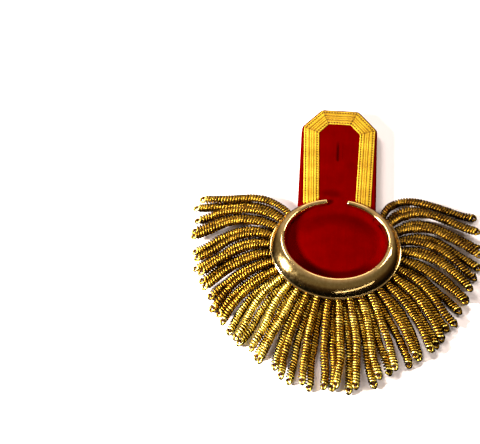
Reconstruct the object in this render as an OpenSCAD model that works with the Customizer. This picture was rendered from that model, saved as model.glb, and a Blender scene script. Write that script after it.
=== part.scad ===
// A bullion epaulette lying on its back: a cloth strap with an oval end, a gold lace border, a brass
// crescent and two rows of wound gold strands. The strap points along +Y and the fringe along -Y.
// The origin is on the underside, below the middle of the oval.

/* [Strap] */
// Width of the strap between its cut corners
strap_w = 61.5; // [50:0.5:66]
// Width of the strap where it meets the oval
strap_foot_w = 62; // [54:1:68]
// Length of the straight edge across the strap's top
strap_top_w = 30; // [22:1:38]
// From the middle of the oval to the strap's top edge
strap_reach = 125; // [110:0.5:150]
// Length that each cut corner takes off the strap's side
corner_drop = 17; // [12:1:24]
// Thickness of the padded board with its cloth
strap_t = 11.5; // [9:0.1:13]
// Rounding of the cloth's upper edge
edge_round = 2; // [1:0.5:3]
// How far the oval board stops inside the crescent's outer edge
board_inset = 6; // [5:0.5:7]
// Cloth that shows outside the crescent, beside the strap
shoulder_lip = 1.2; // [0.4:0.2:1.6]
// Rise of the domed oval field above its rim
field_rise = 2.4; // [1:0.2:4]

/* [Buttonhole] */
// Length of the buttonhole
slit_l = 20; // [16:1:28]
// Width of the buttonhole
slit_w = 1.6; // [1:0.2:3]
// From the strap's top edge to the near end of the buttonhole
slit_drop = 28; // [20:1:34]

/* [Lace] */
// Width of the lace
lace_w = 12.3; // [10:0.1:14]
// Thickness of the lace
lace_t = 0.6; // [0.4:0.1:1.2]
// Cloth left bare beside the lace
lace_margin = 1.7; // [0.8:0.1:3]
// Width across the two long runs of lace where they reach the crescent
lace_foot_w = 53.4; // [50:0.2:58]
// How far the lace is tucked under the crescent's inner edge
lace_tuck = 1.5; // [1:0.1:2]

/* [Crescent] */
// Outer width of the crescent
crescent_w = 102; // [98:1:112]
// Outer length of the crescent, along the strap
crescent_l = 85; // [80:1:94]
// Height of the crescent at its widest place
crescent_h = 8.6; // [6:0.2:11]
// Gap between the two horns
horn_gap = 15; // [10:1:20]
// Width of the oval field inside the crescent
field_w = 77.2; // [74:0.4:84]
// Length of the oval field inside the crescent
field_l = 63.4; // [60:0.2:68]
// How far the field's middle lies up the strap from the crescent's middle
field_shift = 6.4; // [4:0.2:8]

/* [Fringe] */
// Number of strands in both rows together, an odd number
strand_count = 55; // [45:2:59]
// Diameter of a strand
strand_d = 6.3; // [5:0.1:6.4]
// From the middle of the oval to the strands' tips
fringe_reach = 112; // [98:1:130]
// Spread of the tips, each way from the middle strand
tip_fan = 108; // [98:1:112]
// How much the side strands are combed towards the front
comb = 24; // [0:1:35]
// Lean of the leftmost strand towards the strap, where it leaves the crescent
left_lean = 4; // [0:1:30]
// Lean of the rightmost strand towards the strap
right_lean = 27; // [0:1:30]
// Room between the strap's side and the middle of the nearest strand's root
root_room = 3.6; // [3.4:0.1:5]
// Thickness of the band that each row of strands hangs from
head_t = 2.4; // [1.6:0.2:3]

/* [Hidden] */

// Gap between neighbouring pieces, and the smaller one under the flat lace
gap = 0.3;
lace_gap = 0.15;
// Thin slice that a hull starts from
slice = 0.01;

// The head bands stand just outside the board, and the outermost roots beside the strap
head_inset = board_inset - gap - head_t / 2;
root_half_w = crescent_w / 2 - head_inset;
root_half_l = crescent_l / 2 - head_inset;
root_fan = 180 - asin((strap_foot_w / 2 + root_room) / root_half_w);
root_step = 2 * root_fan / (strand_count - 1);

// Spacing of two touching strands' axes, and of the roots at the oval's sides and at its front
strand_r = strand_d / 2;
spacing = strand_d + gap;
side_pitch = root_half_l * root_step * PI / 180;
front_pitch = root_half_w * root_step * PI / 180;
side_rise = sqrt(max(0, pow(spacing, 2) - pow(side_pitch, 2)));
front_rise = sqrt(max(0, pow(spacing, 2) - pow(front_pitch, 2)));

// The crescent's underside clears the upper row and the lace
crescent_z = max(strand_d + side_rise, strap_t + lace_gap + lace_t) + gap;
// Lowest and highest place of each row's head band, clear of the other row
lower_head = [gap, front_rise - gap];
upper_head = [strand_d + gap, crescent_z - gap];

// Each point of the crescent's section as shares of its width and height, from the flange at the outer
// edge over the bulge to the inner edge: [across, up]
crescent_section = [
    [0.00, 0.00], [0.00, 0.055], [0.05, 0.07], [0.10, 0.155], [0.20, 0.355], [0.30, 0.545], [0.40, 0.71],
    [0.50, 0.85], [0.60, 0.96], [0.68, 1.00], [0.77, 0.955], [0.86, 0.81], [0.94, 0.54], [1.00, 0.00]
];
crescent_steps = 50;
// The bulge gets lower where the crescent narrows, by this power of the width
bulge_power = 0.9;
// Stations that round each horn, as shares of the rounded stretch of a few degrees
horn_round = [0.03, 0.25, 0.6];
horn_round_turn = 1.8;

// Where the cloth's shoulder meets the strap's side, and where it is widest between there and the fringe
strap_turn = 180 - asin(strap_foot_w / (crescent_w + 2 * shoulder_lip));
shoulder_turn = root_fan + 0.8 * (strap_turn - root_fan);
// Points along the board's half rim and along the strap's side
rim_steps = 22;
side_steps = 5;
// Levels of the cloth's edge from the underside up, as the height and the inset of each: [up, in]
edge_levels = [
    [0, 0.3 * edge_round], [0.3 * edge_round, 0], [strap_t - edge_round, 0],
    [strap_t - 0.3 * edge_round, 0.3 * edge_round], [strap_t, edge_round]
];
// Rings of the domed field from the groove at its rim, as shares of its half width and its rise: [out, up]
field_rings = [[1, 0], [0.97, -0.15], [0.93, 0], [0.84, 0.35], [0.62, 0.75], [0.3, 0.96], [0.03, 1]];
// Room between the field's rim and the crescent's inner edge
field_room = 0.8;

// Shares of a strand's length at which its rings lie, with a tip that tapers to its end loop
strand_rings = [0, 0.14, 0.28, 0.42, 0.56, 0.70, 0.84, 0.96, 1];
strand_sides = 6;
tip_taper = 0.6;
// The tips' reach as a share of fringe_reach, by their turn from the middle strand: [turn, share]
reach_shares = [[0, 1.02], [15, 1], [30, 0.955], [60, 0.955], [85, 1], [112, 1.03]];
// Sideways sway of the tips in degrees, and their unevenness in length
tip_sway = 1.2;
tip_uneven = 2.5;
sway_stir = 0.618034;
length_stir = 0.414214;
// A shallow wave across the strands, a little later in each neighbour
wave = 1.5;
wave_turns = 0.75;
wave_lag = 37;
// How long a strand keeps its first and its last direction, as shares of its span
root_pull = 0.45;
tip_pull = 0.36;
// The lean fades by this power of the share towards the middle strand, and a degree of it keeps the first
// direction longer by this much
lean_power = 7;
lean_pull = 0.006;
// Where along the way a strand looks for its neighbours
look_around = [-0.06, 0, 0.06];
head_steps = 24;

// A point of an oval whose middle lies up the strap, by its turn from the front
function oval_point(half_w, half_l, middle, turn) = [half_w * sin(turn), middle - half_l * cos(turn)];

// The outward direction of that oval there
function oval_out(half_w, half_l, turn) = unit([sin(turn) / half_w, -cos(turn) / half_l]);

// The plan direction at a turn from the front
function heading(turn) = [sin(turn), -cos(turn)];

function unit(v) = v / norm(v);

// An even scatter between -1 and 1 for strand k
function scatter(k, stir) = let (v = pow(k + 5, 2) * stir) 2 * (v - floor(v)) - 1;

// A corner of an outline moved inwards, so that both edges beside it draw in by the same margin
function drawn_corner(before, corner, after, margin) =
    let (
        e = unit(corner - before),
        f = unit(after - corner),
        inward = [-e[1] - f[1], e[0] + f[0]]
    )
    corner + inward * 2 * margin / (inward * inward);

function drawn_in(outline, margin) =
    let (n = len(outline))
    [for (i = [0:n - 1]) drawn_corner(outline[(i + n - 1) % n], outline[i], outline[(i + 1) % n], margin)];

// Triangles of a closed body made of n rings of m points, each ring counterclockwise seen along the way
function swept_faces(n, m) =
    concat(
        [for (i = [0:n - 2], j = [0:m - 1]) [i * m + j, i * m + (j + 1) % m, (i + 1) * m + j]],
        [for (i = [0:n - 2], j = [0:m - 1]) [i * m + (j + 1) % m, (i + 1) * m + (j + 1) % m, (i + 1) * m + j]],
        [[for (j = [m - 1:-1:0]) j]],
        [[for (j = [0:m - 1]) (n - 1) * m + j]]
    );

// The right side of the strap: where it meets the cloth's shoulder, and its cut corner
strap_meet = oval_point(crescent_w / 2 + shoulder_lip, crescent_l / 2 + shoulder_lip, 0, strap_turn);
strap_corner = [strap_w / 2, strap_reach - corner_drop];
strap_side = strap_corner - strap_meet;

// The outline that the lace follows: the strap's own, drawn in a little more towards the crescent
lace_outline =
    let (
        meet = [lace_foot_w / 2 + lace_margin, strap_meet[1]],
        foot = meet - (strap_corner - meet) / 2
    )
    [
        [-foot[0], foot[1]], foot, strap_corner, [strap_top_w / 2, strap_reach],
        [-strap_top_w / 2, strap_reach], [-strap_corner[0], strap_corner[1]]
    ];

// The direction of a point from the field's middle
function field_direction(p) = atan2(p[1] - field_shift, p[0]);

// The cloth's right half outline: the board's rim from the front, the shoulder, the strap's side and its corner
half_outline = concat(
    [for (i = [0:rim_steps])
        oval_point(crescent_w / 2 - board_inset, crescent_l / 2 - board_inset, 0,
                   (root_fan + 0.8 * root_step) * i / rim_steps)],
    [oval_point(crescent_w / 2 + shoulder_lip, crescent_l / 2 + shoulder_lip, 0, shoulder_turn)],
    [for (i = [0:side_steps]) strap_meet + strap_side * pow(i / side_steps, 1.6)],
    [[strap_top_w / 2, strap_reach]]
);

cloth_outline = concat(
    half_outline,
    [[0, strap_reach]],
    [for (i = [len(half_outline) - 1:-1:1]) [-half_outline[i][0], half_outline[i][1]]]
);

module oval(half_w, half_l, middle) {
    polygon([for (turn = [0:4:356]) oval_point(half_w, half_l, middle, turn)]);
}

// One ring of the field's dome, with a point straight inwards of each point of the outline
function field_ring(share, z) =
    [
        for (p = cloth_outline)
            let (
                a = field_direction(p),
                r = share / norm([cos(a) / (field_w / 2 - field_room), sin(a) / (field_l / 2 - field_room)])
            )
            [r * cos(a), field_shift + r * sin(a), z]
    ];

// The padded board under its cloth: eased at the underside, rounded at the top, domed inside the crescent
module padded_board() {
    rings = concat(
        [for (level = edge_levels) [for (p = drawn_in(cloth_outline, level[1])) [p[0], p[1], level[0]]]],
        [for (ring = field_rings) field_ring(ring[0], strap_t + field_rise * ring[1])]
    );
    // Seen from below, along the way up, each ring has to turn the other way round
    points = [for (ring = rings) for (i = [len(ring) - 1:-1:0]) ring[i]];
    polyhedron(points, swept_faces(len(rings), len(cloth_outline)), convexity = 4);
}

// The cloth raised under the crescent, which rests on it inside the head bands
module crescent_seat() {
    sunk = 0.5;
    seat_inset = board_inset + edge_round;
    translate([0, 0, strap_t - sunk])
        linear_extrude(crescent_z - gap - strap_t + sunk)
            difference() {
                oval(crescent_w / 2 - seat_inset, crescent_l / 2 - seat_inset, 0);
                oval(field_w / 2 + gap, field_l / 2 + gap, field_shift);
            }
}

module buttonhole() {
    translate([0, strap_reach - slit_drop - slit_l / 2, -1])
        linear_extrude(strap_t + 2) {
            square([slit_w, slit_l - slit_w], center = true);
            for (end = [-1, 1])
                translate([0, end * (slit_l - slit_w) / 2])
                    circle(d = slit_w, $fn = 24);
        }
}

module cloth_body() {
    color("firebrick")
        difference() {
            union() {
                padded_board();
                crescent_seat();
            }
            buttonhole();
        }
}

// The lace ends under the crescent, short of the field
module gold_lace() {
    color("gold")
        translate([0, 0, strap_t + lace_gap])
            linear_extrude(lace_t)
                difference() {
                    polygon(drawn_in(lace_outline, lace_margin));
                    polygon(drawn_in(lace_outline, lace_margin + lace_w));
                    oval(field_w / 2 + lace_tuck, field_l / 2 + lace_tuck, field_shift);
                }
}

// How far the field's edge lies inside the crescent's outer edge, straight in from the outer edge
function crescent_width(turn) =
    let (
        p = oval_point(crescent_w / 2, crescent_l / 2, -field_shift, turn),
        out = oval_out(crescent_w / 2, crescent_l / 2, turn),
        stretch = [2 / field_w, 2 / field_l],
        u = [p[0] * stretch[0], p[1] * stretch[1]],
        v = [out[0] * stretch[0], out[1] * stretch[1]]
    )
    (u * v - sqrt(pow(u * v, 2) - (v * v) * (u * u - 1))) / (v * v);

// One section of the crescent, shrunk towards its middle by fill at the horns' round ends
function crescent_ring(turn, fill) =
    let (
        outer = oval_point(crescent_w / 2, crescent_l / 2, 0, turn),
        out = oval_out(crescent_w / 2, crescent_l / 2, turn),
        width = crescent_width(turn),
        height = crescent_h * pow(width / crescent_width(0), bulge_power)
    )
    [
        for (row = crescent_section)
            let (p = outer - out * width * (0.5 + (row[0] - 0.5) * fill))
            [p[0], p[1], crescent_z + height * row[1] * fill]
    ];

module crescent() {
    horn_turn = 180 - asin(horn_gap / crescent_w);
    even_turn = horn_turn - horn_round_turn;
    rings = concat(
        [for (q = horn_round) crescent_ring(-horn_turn + q * horn_round_turn, sqrt(1 - pow(1 - q, 2)))],
        [for (i = [0:crescent_steps]) crescent_ring(even_turn * (2 * i / crescent_steps - 1), 1)],
        [for (i = [len(horn_round) - 1:-1:0])
            let (q = horn_round[i])
            crescent_ring(horn_turn - q * horn_round_turn, sqrt(1 - pow(1 - q, 2)))]
    );
    points = [for (ring = rings) for (p = ring) p];
    color("khaki")
        polyhedron(points, swept_faces(len(rings), len(crescent_section)), convexity = 6);
}

// The four points that steer strand k in plan: root, first pull, last pull and tip. The side strands are
// combed towards the front at their tips
function steering(k) =
    let (
        share = 2 * k / (strand_count - 1) - 1,
        turn = root_fan * share,
        out = oval_out(root_half_w, root_half_l, turn),
        lean = (share < 0 ? left_lean : right_lean) * pow(share, lean_power),
        leaving = atan2(out[0], -out[1]) + lean,
        tip_turn = tip_fan * share + tip_sway * scatter(k, sway_stir),
        landing = tip_turn - comb * sin(tip_turn),
        reach = fringe_reach * lookup(abs(tip_turn), reach_shares) + tip_uneven * scatter(k, length_stir),
        root = oval_point(root_half_w, root_half_l, 0, turn),
        tip = reach * heading(tip_turn),
        span = norm(tip - root)
    )
    [
        root,
        root + heading(leaving) * span * (root_pull + abs(lean) * lean_pull),
        tip - heading(landing) * span * tip_pull,
        tip
    ];

// Where strand k lies in plan at share s of its way: a cubic curve, with the wave across it
function plan_point(k, s) =
    let (
        p = steering(k),
        across = unit([p[0][1] - p[3][1], p[3][0] - p[0][0]]),
        sway = wave * s * sin(360 * s * wave_turns + wave_lag * k)
    )
    pow(1 - s, 3) * p[0] + 3 * s * pow(1 - s, 2) * p[1] + 3 * s * s * (1 - s) * p[2] + pow(s, 3) * p[3]
    + across * sway;

// The sideways distance in plan from strand k to its neighbour j
function beside(k, j, s) =
    let (
        apart = plan_point(j, s) - plan_point(k, s),
        ahead = unit(plan_point(k, s + slice) - plan_point(k, s - slice))
    )
    abs(apart[0] * ahead[1] - apart[1] * ahead[0]);

// The smallest of those distances to both neighbours, a little before and after as well
function room_beside(k, s) =
    min([
        for (j = [k - 1, k + 1], look = look_around)
            if (j >= 0 && j < strand_count) beside(k, j, min(1, max(0, s + look)))
    ]);

// An odd strand lies on the table, and an even one rides on its neighbours until there is room between them
function strand_height(k, s) =
    strand_r
    + (k % 2 == 1 ? 0 : min(side_rise, sqrt(max(0, pow(spacing, 2) - pow(room_beside(k, s), 2)))));

function strand_route(k) =
    [for (s = strand_rings) let (p = plan_point(k, s)) [p[0], p[1], strand_height(k, s)]];

// A tube along a strand's route
module strand(k) {
    route = strand_route(k);
    last = len(route) - 1;
    points = [
        for (i = [0:last])
            let (
                ahead = unit(route[min(i + 1, last)] - route[max(i - 1, 0)]),
                side = unit([ahead[1], -ahead[0], 0]),
                up = cross(side, ahead),
                r = i == last ? strand_r * tip_taper : strand_r
            )
            for (j = [0:strand_sides - 1])
                let (a = 360 * j / strand_sides + 90)
                route[i] + r * (cos(a) * side + sin(a) * up)
    ];
    polyhedron(points, swept_faces(last + 1, strand_sides), convexity = 4);
}

module head_post(turn, low, high) {
    p = oval_point(root_half_w, root_half_l, 0, turn);
    translate([p[0], p[1], low])
        cylinder(d = head_t, h = high - low, $fn = 8);
}

// A row of strands fused to the band that it hangs from, which is a chain of short walls
module fringe_row(first, head) {
    reach = root_fan + root_step / 4;
    union() {
        for (i = [0:head_steps - 1])
            hull() {
                head_post(reach * (2 * i / head_steps - 1), head[0], head[1]);
                head_post(reach * (2 * (i + 1) / head_steps - 1), head[0], head[1]);
            }
        for (k = [first:2:strand_count - 1])
            strand(k);
    }
}

module fringe_lower() {
    color("darkgoldenrod")
        fringe_row(1, lower_head);
}

module fringe_upper() {
    color("goldenrod")
        fringe_row(0, upper_head);
}

cloth_body();
gold_lace();
crescent();
fringe_lower();
fringe_upper();
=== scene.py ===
import math

import bpy
import numpy as np
from mathutils import Matrix, Vector


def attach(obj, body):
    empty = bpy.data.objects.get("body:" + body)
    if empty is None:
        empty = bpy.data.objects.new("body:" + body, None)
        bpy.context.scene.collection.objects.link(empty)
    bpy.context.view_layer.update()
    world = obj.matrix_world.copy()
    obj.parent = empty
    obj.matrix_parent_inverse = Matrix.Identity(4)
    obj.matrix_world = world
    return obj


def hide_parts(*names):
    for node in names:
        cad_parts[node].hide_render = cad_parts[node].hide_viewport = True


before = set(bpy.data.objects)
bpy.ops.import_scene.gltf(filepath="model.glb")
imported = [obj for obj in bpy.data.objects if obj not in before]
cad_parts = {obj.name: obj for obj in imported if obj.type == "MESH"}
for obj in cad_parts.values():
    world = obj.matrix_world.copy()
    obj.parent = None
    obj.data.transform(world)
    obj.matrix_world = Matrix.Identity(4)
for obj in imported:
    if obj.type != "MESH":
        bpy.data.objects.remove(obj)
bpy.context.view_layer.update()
mm = 0.001

# A bullion epaulette lying on a white table: the strap points along +Y and
# the fringe along -Y. The origin is on the underside, below the middle of
# the crescent's oval. Sizes are in millimetres and match the solids.


def linearColour(hexText):
    # each sRGB channel through the sRGB curve, to the linear value that a shader takes
    c = np.array([int(hexText[i:i + 2], 16) for i in (0, 2, 4)]) / 255
    linear = np.where(c <= 0.04045, c / 12.92, ((c + 0.055) / 1.055) ** 2.4)
    return (*linear.tolist(), 1.0)


def patternScale(size):
    # a noise's scale for marks of a size in mm on Object coordinates, which are in metres: 1 / size
    return 1 / (size * mm)


def bandScale(pitch):
    # a wave's scale for bands at a pitch in its vector's units: they lie 2 pi / (20 scale) apart
    return math.pi / 10 / pitch


def addNode(tree, kind, settings=None, inputs=None):
    # adds one node: "stops" fills a colour ramp, an input
    # that is a socket is linked, and any other is set
    node = tree.nodes.new("ShaderNode" + kind)
    for name, value in (settings or {}).items():
        if name == "stops":
            ramp = node.color_ramp.elements
            while len(ramp) < len(value):
                ramp.new(0.5)
            for stop, (place, colour) in zip(ramp, value):
                stop.position = place
                stop.color = linearColour(colour)
        else:
            setattr(node, name, value)
    for name, value in (inputs or {}).items():
        if isinstance(value, bpy.types.NodeSocket):
            tree.links.new(value, node.inputs[name])
        else:
            node.inputs[name].default_value = value
    return node


def newMaterial(name):
    # an empty material with its output and its main shader
    material = bpy.data.materials.new(name)
    material.use_nodes = True
    tree = material.node_tree
    tree.nodes.clear()
    shader = addNode(tree, "BsdfPrincipled")
    addNode(tree, "OutputMaterial", inputs={"Surface": shader.outputs[0]})
    return material, tree, shader


def driftingColour(tree, shader, size, stops, detail=2, roughness=0.5):
    # the base colour drifts along a ramp over marks of a size in mm. Returns the noise
    place = addNode(tree, "TexCoord").outputs["Object"]
    noise = addNode(tree, "TexNoise", inputs={
        "Vector": place, "Scale": patternScale(size), "Detail": detail, "Roughness": roughness})
    colour = addNode(tree, "ValToRGB", {"stops": stops}, {"Fac": noise.outputs[0]})
    tree.links.new(colour.outputs[0], shader.inputs["Base Color"])
    return noise.outputs[0]


def addObject(name, data):
    # puts data into the scene as an object
    item = bpy.data.objects.new(name, data)
    bpy.context.scene.collection.objects.link(item)
    return item


def makePiece(name, skins, material, smooth=True):
    # joins closed skins into one mesh. A skin is a grid of points in mm, rows x
    # columns x 3: a face joins two rows and two columns, the last column meets the
    # first, and one face closes each end row. Faces point to the cross product of
    # the way across and the way along. Materials read a skin's "uv" and "tone"
    points, corners, sizes, uvs, tones = [], [], [], [], []
    start = 0
    for skin in skins:
        grid = skin["points"]
        rows, cols = grid.shape[:2]
        i = np.arange(rows - 1)[:, None] * cols
        j = np.arange(cols)[None]
        k = (j + 1) % cols
        quads = np.stack([i + j, i + k, i + cols + k, i + cols + j], -1).reshape(-1)
        firstEnd = np.arange(cols)[::-1]
        lastEnd = np.arange(cols) + (rows - 1) * cols
        corners.append(np.concatenate([quads, firstEnd, lastEnd]) + start)
        sizes.append(np.append(np.full(len(quads) // 4, 4), [cols, cols]))
        points.append(grid.reshape(-1, 3))
        uvs.append(skin.get("uv", np.zeros((rows, cols, 2))).reshape(-1, 2))
        tones.append(np.broadcast_to(skin.get("tone", 0.5), (rows, cols)).reshape(-1))
        start += rows * cols
    points, corners, sizes, uvs, tones = map(np.concatenate, (points, corners, sizes, uvs, tones))
    mesh = bpy.data.meshes.new(name)
    mesh.vertices.add(len(points))
    mesh.vertices.foreach_set("co", (points * mm).astype(np.float32).ravel())
    mesh.loops.add(len(corners))
    mesh.loops.foreach_set("vertex_index", corners.astype(np.int32))
    mesh.polygons.add(len(sizes))
    mesh.polygons.foreach_set("loop_start", (np.cumsum(sizes) - sizes).astype(np.int32))
    mesh.update(calc_edges=True)
    mesh.polygons.foreach_set("use_smooth", np.full(len(sizes), smooth))
    mesh.uv_layers.new(name="UVMap").data.foreach_set("uv", uvs[corners].astype(np.float32).ravel())
    mesh.attributes.new("tone", "FLOAT", "POINT").data.foreach_set("value", tones.astype(np.float32))
    mesh.validate()
    mesh.materials.append(material)
    piece = addObject(name, mesh)
    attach(piece, "root")
    print(f"{name}: {len(points)} points, {int((sizes - 2).sum())} triangles")
    return piece


def unit(v):
    # a vector over its own length
    return v / np.linalg.norm(v, axis=-1, keepdims=True)


def heading(turn):
    # the direction at a turn in degrees from the front: (sin, -cos)
    a = np.radians(turn)
    return np.stack([np.sin(a), -np.cos(a)], -1)


def ovalPoint(halfW, halfL, turn):
    # a point of an oval by its turn: the heading times the half sizes
    return heading(turn) * [halfW, halfL]


def ovalOut(halfW, halfL, turn):
    # the outward direction there: the heading over the half sizes, made a unit long
    return unit(heading(turn) / [halfW, halfL])


def ovalShare(x, y, middle, half):
    # how far out a place lies, from 0 at an oval's middle to 1 on the oval
    return np.hypot((x - middle[0]) / half[0], (y - middle[1]) / half[1])


def smoothStep(x, low, high):
    # 0 below low, 1 above high, and 3t^2 - 2t^3 between
    t = np.clip((x - low) / (high - low), 0, 1)
    return t * t * (3 - 2 * t)


def smoothFall(x, low, high):
    # 1 below low, 0 above high, and the same curve between
    return 1 - smoothStep(x, low, high)


def bell(x, half):
    # exp(-(x / half)^2)
    return np.exp(-(x / half) ** 2)


def smoothThrough(places, values, at):
    # a smooth curve through the values: cubic pieces whose
    # slope at each value is that of its two neighbours
    slopes = np.gradient(values, places)
    i = np.clip(np.searchsorted(places, at, side="right") - 1, 0, len(places) - 2)
    step = places[i + 1] - places[i]
    u = (at - places[i]) / step
    return ((1 + 2 * u) * (1 - u) ** 2 * values[i] + u * (1 - u) ** 2 * step * slopes[i]
            + u * u * (3 - 2 * u) * values[i + 1] + u * u * (u - 1) * step * slopes[i + 1])


def waver(lengths, waves, beats):
    # a sum of sines along a way, each with its share, its length and a beat where it starts
    return sum(share * np.sin(lengths / length + beat) for (share, length), beat in zip(waves, beats))


def lengthsAlong(path):
    # the length from a path's start to each of its points
    return np.append(0, np.cumsum(np.linalg.norm(np.diff(path, axis=0), axis=-1)))


def evenlyAlong(path, lengths):
    # the points of a path at given lengths from its start
    steps = lengthsAlong(path)
    return np.stack([np.interp(lengths, steps, path[:, i]) for i in range(3)], -1)


def rightOf(ahead):
    # level and square to a direction, on its right: (y, -x, 0)
    return np.column_stack([ahead[:, 1], -ahead[:, 0], np.zeros(len(ahead))])


def tubeAlong(path, normal, radius, sides):
    # a circle carried along a path, P + r (cos a N + sin a B),
    # where N is the given normal made square to the path
    ahead = unit(np.gradient(path, axis=0))
    n = unit(normal - ahead * np.sum(normal * ahead, -1, keepdims=True))[:, None]
    b = np.cross(ahead[:, None], n)
    a = (2 * np.pi * np.arange(sides) / sides)[None, :, None]
    return path[:, None] + radius[:, None, None] * (np.cos(a) * n + np.sin(a) * b)


# Sizes that several pieces share, as in the solids
strap = {
    "width": 61.5, "footWidth": 62, "topWidth": 30, "reach": 125, "cornerDrop": 17, "thick": 11.5,
    "edgeRound": 2.0, "boardInset": 6, "shoulderLip": 1.2, "shoulderShare": 0.8,
}
oval = {
    "width": 102, "length": 85, "height": 8.6, "hornGap": 15,
    "fieldW": 77.2, "fieldL": 63.4, "fieldShift": 6.4,
}
fringe = {
    "strands": 55, "diameter": 6.3, "reach": 112, "tipFan": 108, "comb": 24, "leftLean": 4, "rightLean": 27,
    "leanPower": 7, "leanPull": 0.006, "rootPull": 0.45, "tipPull": 0.36,
    "rootRoom": 3.6, "headThick": 2.4, "gap": 0.3,
    "tipSway": 1.2, "swayStir": 0.618034, "tipUneven": 2.5, "lengthStir": 0.414214,
    "wave": 1.5, "waveTurns": 0.75, "waveLag": 37, "look": 0.06,
    # share of the reach at each turn of a tip from the front
    "reachShares": [[0, 1.02], [15, 1], [30, 0.955], [60, 0.955], [85, 1], [112, 1.03]],
}
ovalHalf = (oval["width"] / 2, oval["length"] / 2)
fieldHalf = (oval["fieldW"] / 2, oval["fieldL"] / 2)
headInset = strap["boardInset"] - fringe["gap"] - fringe["headThick"] / 2
rootHalf = (ovalHalf[0] - headInset, ovalHalf[1] - headInset)
rootFan = 180 - math.degrees(math.asin((strap["footWidth"] / 2 + fringe["rootRoom"]) / rootHalf[0]))
rootStep = 2 * rootFan / (fringe["strands"] - 1)
spacing = fringe["diameter"] + fringe["gap"]
# how far an upper strand rises above its neighbours where the roots are closest
sideRise = math.sqrt(spacing ** 2 - (rootHalf[1] * math.radians(rootStep)) ** 2)
crescentZ = fringe["diameter"] + sideRise + fringe["gap"]


def strapSide():
    # on the right, the shoulder's two ends on the oval with
    # its lip, the strap's cut corner and its top corner
    lip = strap["shoulderLip"]
    halfW, halfL = ovalHalf[0] + lip, ovalHalf[1] + lip
    strapTurn = 180 - math.degrees(math.asin(strap["footWidth"] / 2 / halfW))
    shoulderTurn = rootFan + strap["shoulderShare"] * (strapTurn - rootFan)
    shoulder, meet = ovalPoint(halfW, halfL, np.array([shoulderTurn, strapTurn]))
    corner = np.array([strap["width"] / 2, strap["reach"] - strap["cornerDrop"]])
    top = np.array([strap["topWidth"] / 2, strap["reach"]])
    return shoulder, meet, corner, top


cloth = {
    # the last colour here is painted shade: the cloth is darkened towards it where the crescent's shadow
    # falls, on the dome's back slope, in the dip and in the slit
    "colour": "4f0000", "shadeColour": "410000", "paintedShadeColour": "1c0000",
    "mottle": 11.11, "fibre": 1.429, "nap": 0.3846,   # size of each pattern's marks
    # the rim's points and its run past the last root, spacing round the rest, and the slit's columns
    "rimSteps": 120, "rimPast": 0.8, "step": 0.9, "slitColumns": (2.5, 27),
    # how far the curve at each corner reaches: the rim's
    # end, the shoulder's two ends and the strap's corners
    "rounds": [0.8, 1.2, 1.5, 2.2, 2.2],
    # height and inset of the rings up the wall, below its rounded edge
    "wall": [(0.0, 0.6), (0.25, 0.22), (0.7, 0.04), (1.6, -0.06), (3.6, -0.16), (5.6, -0.12), (7.4, -0.04)],
    "edgeTurns": (0.12, math.pi / 2, 8), "easeOver": 5, "rimBlend": 1.5,
    # shares of the way: the underside's rings, those in to the field's oval, those inside it and the last
    "underRings": [0.004, 0.25, 0.5, 0.75, 0.92],
    "ringsToField": (0.004, 1, 96), "ringsInField": (0.985, 0.02, 60), "lastRing": 0.004,
    # beside middles and half sizes, a pair is where a form starts and ends, in mm or shares of an oval
    "panel": {"puff": 0.4, "side": (6, 16), "front": (52, 64), "back": (96, 110)},
    "neck": {"side": (9, 16), "front": (27, 35)},
    "seat": {"height": 12.2, "inner": (0.84, 0.99), "outer": (1.16, 1.3)},
    "dome": {"middle": (2.0, 3.4), "half": (32.3, 26.0), "rise": 2.3, "roundness": 2.3, "rim": (0.8, 1.1),
             "groove": 0.3, "grooveAt": 1.06, "grooveHalf": 0.07},
    # painted shade on the cloth: in front of the dome where the crescent's shadow falls, and along the
    # dome's back slope
    "paintedShade": {"front": 0.78, "frontOut": (0.8, 0.94), "frontTurn": (0.35, 0.85),
                "back": 0.4, "backAt": 0.9, "backHalf": 0.32, "backOut": (0.98, 1.2),
                "backTurn": (0.1, 0.8), "field": (1.0, 1.1)},
    "dip": {"middle": (-3, 48.5), "half": (12, 5), "depth": 0.9, "shade": 0.42, "out": (0.15, 1.0),
            "side": (13, 16)},
    "slit": {"length": 20, "drop": 28, "half": 1.1, "depth": 0.7, "lip": 0.15, "lipAt": 2.4, "lipHalf": 0.6,
             "shade": 0.46, "shadeHalf": 2.09, "overrun": 0.5, "frontFade": 2.0, "backFadeFrom": 2.0},
}


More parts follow.
